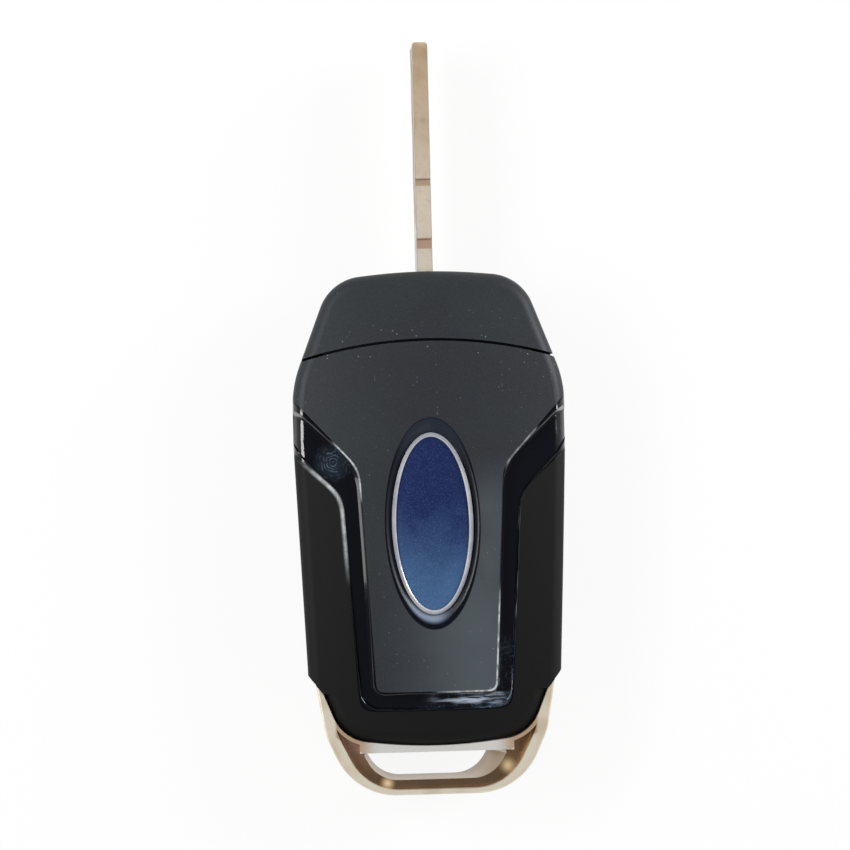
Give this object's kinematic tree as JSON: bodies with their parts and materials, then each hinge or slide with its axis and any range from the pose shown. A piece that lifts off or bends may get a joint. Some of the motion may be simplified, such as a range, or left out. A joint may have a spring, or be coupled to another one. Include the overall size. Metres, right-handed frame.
{
  "type": "flip key remote",
  "caption": "Fob with a blade that swings out of the nose on a sprung hinge, press keys on the front, an oval badge on the crowned rear and a metal key ring loop.",
  "frame": {"origin": "centre of the whole outline in x and y with the blade swung out, on the flat front face that it lies on", "axes": "+Y along the open blade, +Z out of the badge face, +X towards the release button"},
  "size_m": [0.039, 0.108, 0.0178],
  "materials": {
    "shell_plastic": "fine spark-eroded satin",
    "cap_plastic": "satin dark slate grey",
    "cover_plastic": "satin tongue, gloss channel, matte wings",
    "bezel_chrome": "bright plated rim",
    "badge_blue": "deep blue metallic under clear dome",
    "blade_metal": "worn nickel silver",
    "hub_metal": "black coated zinc casting",
    "pin_steel": "ground",
    "button_plastic": "polished face",
    "spring_steel": "drawn wire",
    "loop_nickel": "polished nickel plating",
    "screw_steel": "zinc plated",
    "board_green": "solder mask",
    "cell_steel": "plated can",
    "contact_brass": "sprung strip",
    "chip_black": "moulded package",
    "coil_ferrite": "ferrite core",
    "key_plastic": "soft satin",
    "switch_body": "moulded"
  },
  "bodies": {
    "housing": {"front_shell": "shell_plastic", "rear_cover": "cover_plastic", "head_cap": "cap_plastic", "badge_bezel": "bezel_chrome", "badge_lens": "badge_blue", "key_loop": "loop_nickel", "loop_screws": "screw_steel", "head_screws": "screw_steel", "circuit_board": "board_green", "coin_cell": "cell_steel", "cell_clip": "contact_brass", "cell_contact": "contact_brass", "control_chip": "chip_black", "crystal": "cell_steel", "antenna_coil": "coil_ferrite", "transponder": "chip_black", "lock_switch": "switch_body", "unlock_switch": "switch_body", "trunk_switch": "switch_body", "panic_switch": "switch_body"},
    "blade_arm": {"key_blade": "blade_metal", "blade_hub": "hub_metal", "blade_pin": "pin_steel", "flip_spring": "spring_steel"},
    "release": {"release_button": "button_plastic"},
    "lock_pad": {"lock_key": "key_plastic"},
    "unlock_pad": {"unlock_key": "key_plastic"},
    "trunk_pad": {"trunk_key": "key_plastic"},
    "panic_pad": {"panic_key": "key_plastic"}
  },
  "joints": [
    {"name": "blade_flip", "type": "hinge", "parent": "housing", "child": "blade_arm", "pos_m": [0, 0.01265, 0.0068], "axis": [-1, 0, 0], "range_deg": [0, 180], "stiffness_Nm_per_rad": 0.015, "springref_deg": -68.75},
    {"name": "release_press", "type": "slide", "parent": "housing", "child": "release", "axis": [-1, 0, 0], "range_m": [0, 0.0018], "stiffness_N_per_m": 1200, "deforming": ["flip_spring"]},
    {"name": "lock_press", "type": "slide", "parent": "housing", "child": "lock_pad", "axis": [0, 0, 1], "range_m": [0, 0.0004], "stiffness_N_per_m": 600},
    {"name": "unlock_press", "type": "slide", "parent": "housing", "child": "unlock_pad", "axis": [0, 0, 1], "range_m": [0, 0.0004], "stiffness_N_per_m": 600},
    {"name": "trunk_press", "type": "slide", "parent": "housing", "child": "trunk_pad", "axis": [0, 0, 1], "range_m": [0, 0.0004], "stiffness_N_per_m": 600},
    {"name": "panic_press", "type": "slide", "parent": "housing", "child": "panic_pad", "axis": [0, 0, 1], "range_m": [0, 0.0004], "stiffness_N_per_m": 600}
  ]
}
